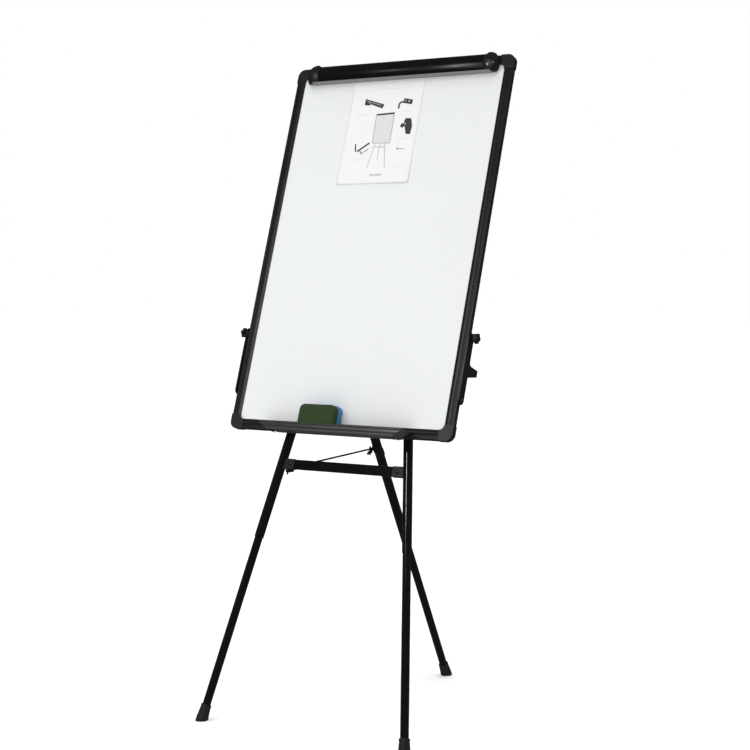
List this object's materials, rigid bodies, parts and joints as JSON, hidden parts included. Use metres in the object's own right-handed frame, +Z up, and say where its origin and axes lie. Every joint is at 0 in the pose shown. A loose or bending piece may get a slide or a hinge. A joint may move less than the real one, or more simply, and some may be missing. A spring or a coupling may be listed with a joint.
{
  "type": "flipchart easel",
  "caption": "Folding tripod easel with a framed white writing board, a sprung paper clamp, a pen tray, side arms with star knobs and telescopic legs on rubber boots.",
  "frame": {"origin": "on the floor, at the centre of the footprint's bounding box", "axes": "+X to the right seen from the front, -Y out of the board's writing face towards the user, +Z up"},
  "size_m": [0.6446, 0.7034, 1.5424],
  "materials": {
    "enamel": "gloss white enamel",
    "core": "plain board core",
    "back": "thin bright backing sheet",
    "frame": "satin charcoal coating",
    "plastic": "matt black moulded",
    "steel": "zinc plated",
    "lip": "grey soft strip",
    "paper": "printed sheet",
    "felt": "dark green felt",
    "blue": "blue moulded",
    "tube": "semi-gloss black",
    "bracket": "satin black",
    "rubber": "matt black"
  },
  "bodies": {
    "stand": {"writing_sheet": "enamel", "board_core": "core", "back_sheet": "back", "frame_left": "frame", "frame_right": "frame", "frame_top": "frame", "frame_bottom": "frame", "top_corners": "plastic", "bottom_corners": "plastic", "corner_screws": "steel", "clamp_base": "frame", "clamp_rod": "steel", "clamp_springs": "steel", "leaflet": "paper", "pen_tray": "frame", "frame_screws": "steel", "knob_studs": "steel", "front_leg_left": "tube", "front_leg_right": "tube", "front_bushes": "plastic", "leg_top_caps": "plastic", "top_bracket": "bracket", "back_screws": "steel", "leg_bolts": "steel", "board_saddles": "plastic", "saddle_straps": "steel", "hinge_bar": "tube", "hinge_bracket": "bracket", "hinge_pin": "steel", "crossbar": "tube", "crossbar_brackets": "bracket", "crossbar_rivets": "bracket"},
    "clamp": {"clamp_bar": "frame", "clamp_lip": "lip", "clamp_cap_left": "plastic", "clamp_cap_right": "plastic", "clamp_rivets": "steel"},
    "eraser": {"eraser_felt": "felt", "eraser_back": "blue"},
    "left_arm": {"side_arm_left": "bracket", "arm_pin_left": "steel"},
    "right_arm": {"side_arm_right": "bracket", "arm_pin_right": "steel"},
    "left_knob": {"knob_left": "plastic"},
    "right_knob": {"knob_right": "plastic"},
    "rear_leg": {"rear_leg": "tube", "rear_leg_eye": "bracket", "rear_bush": "plastic", "brace_clip": "bracket"},
    "brace": {"brace_rod": "tube"},
    "left_lower_leg": {"lower_leg_left": "tube", "leg_brake_left": "plastic", "foot_left": "rubber"},
    "right_lower_leg": {"lower_leg_right": "tube", "leg_brake_right": "plastic", "foot_right": "rubber"},
    "rear_lower_leg": {"lower_leg_rear": "tube", "leg_brake_rear": "plastic", "foot_rear": "rubber"}
  },
  "joints": [
    {"name": "clamp_flip", "type": "hinge", "parent": "stand", "child": "clamp", "pos_m": [0, 0.1059, 1.52839], "axis": [-1, 0, 0], "range_deg": [0, 45], "stiffness_Nm_per_rad": 0.25, "springref_deg": -34.38, "deforming": ["clamp_springs"]},
    {"name": "eraser_lift", "type": "slide", "parent": "stand", "child": "eraser", "axis": [0, 0.3256, 0.9455], "range_m": [0, 0.06]},
    {"name": "left_arm_swing", "type": "hinge", "parent": "stand", "child": "left_arm", "pos_m": [-0.3025, -0.10011, 0.88648], "axis": [-1, 0, 0], "range_deg": [0, 180]},
    {"name": "right_arm_swing", "type": "hinge", "parent": "stand", "child": "right_arm", "pos_m": [0.3025, -0.10011, 0.88648], "axis": [-1, 0, 0], "range_deg": [0, 180]},
    {"name": "left_knob_turn", "type": "hinge", "parent": "stand", "child": "left_knob", "pos_m": [-0.312, -0.10011, 0.88648], "axis": [-1, 0, 0], "continuous": true},
    {"name": "right_knob_turn", "type": "hinge", "parent": "stand", "child": "right_knob", "pos_m": [0.312, -0.10011, 0.88648], "axis": [1, 0, 0], "continuous": true},
    {"name": "rear_leg_fold", "type": "hinge", "parent": "stand", "child": "rear_leg", "pos_m": [0, -0.07279, 0.74502], "axis": [-1, 0, 0], "range_deg": [0, 46.24]},
    {"name": "brace_swing", "type": "hinge", "parent": "stand", "child": "brace", "pos_m": [-0.16, -0.14398, 0.57244], "axis": [0, -0.3007, -0.9537], "range_deg": [0, 31]},
    {"name": "left_leg_extend", "type": "slide", "parent": "stand", "child": "left_lower_leg", "axis": [-0.1616, -0.2968, -0.9412], "range_m": [-0.4, 0.2]},
    {"name": "right_leg_extend", "type": "slide", "parent": "stand", "child": "right_lower_leg", "axis": [0.1616, -0.2968, -0.9412], "range_m": [-0.4, 0.2]},
    {"name": "rear_leg_extend", "type": "slide", "parent": "rear_leg", "child": "rear_lower_leg", "axis": [0, 0.4808, -0.8768], "range_m": [-0.08, 0.18]}
  ],
  "couplings": [
    {"joint": "brace_swing", "follows": "rear_leg_fold", "ratio": 0.665}
  ]
}
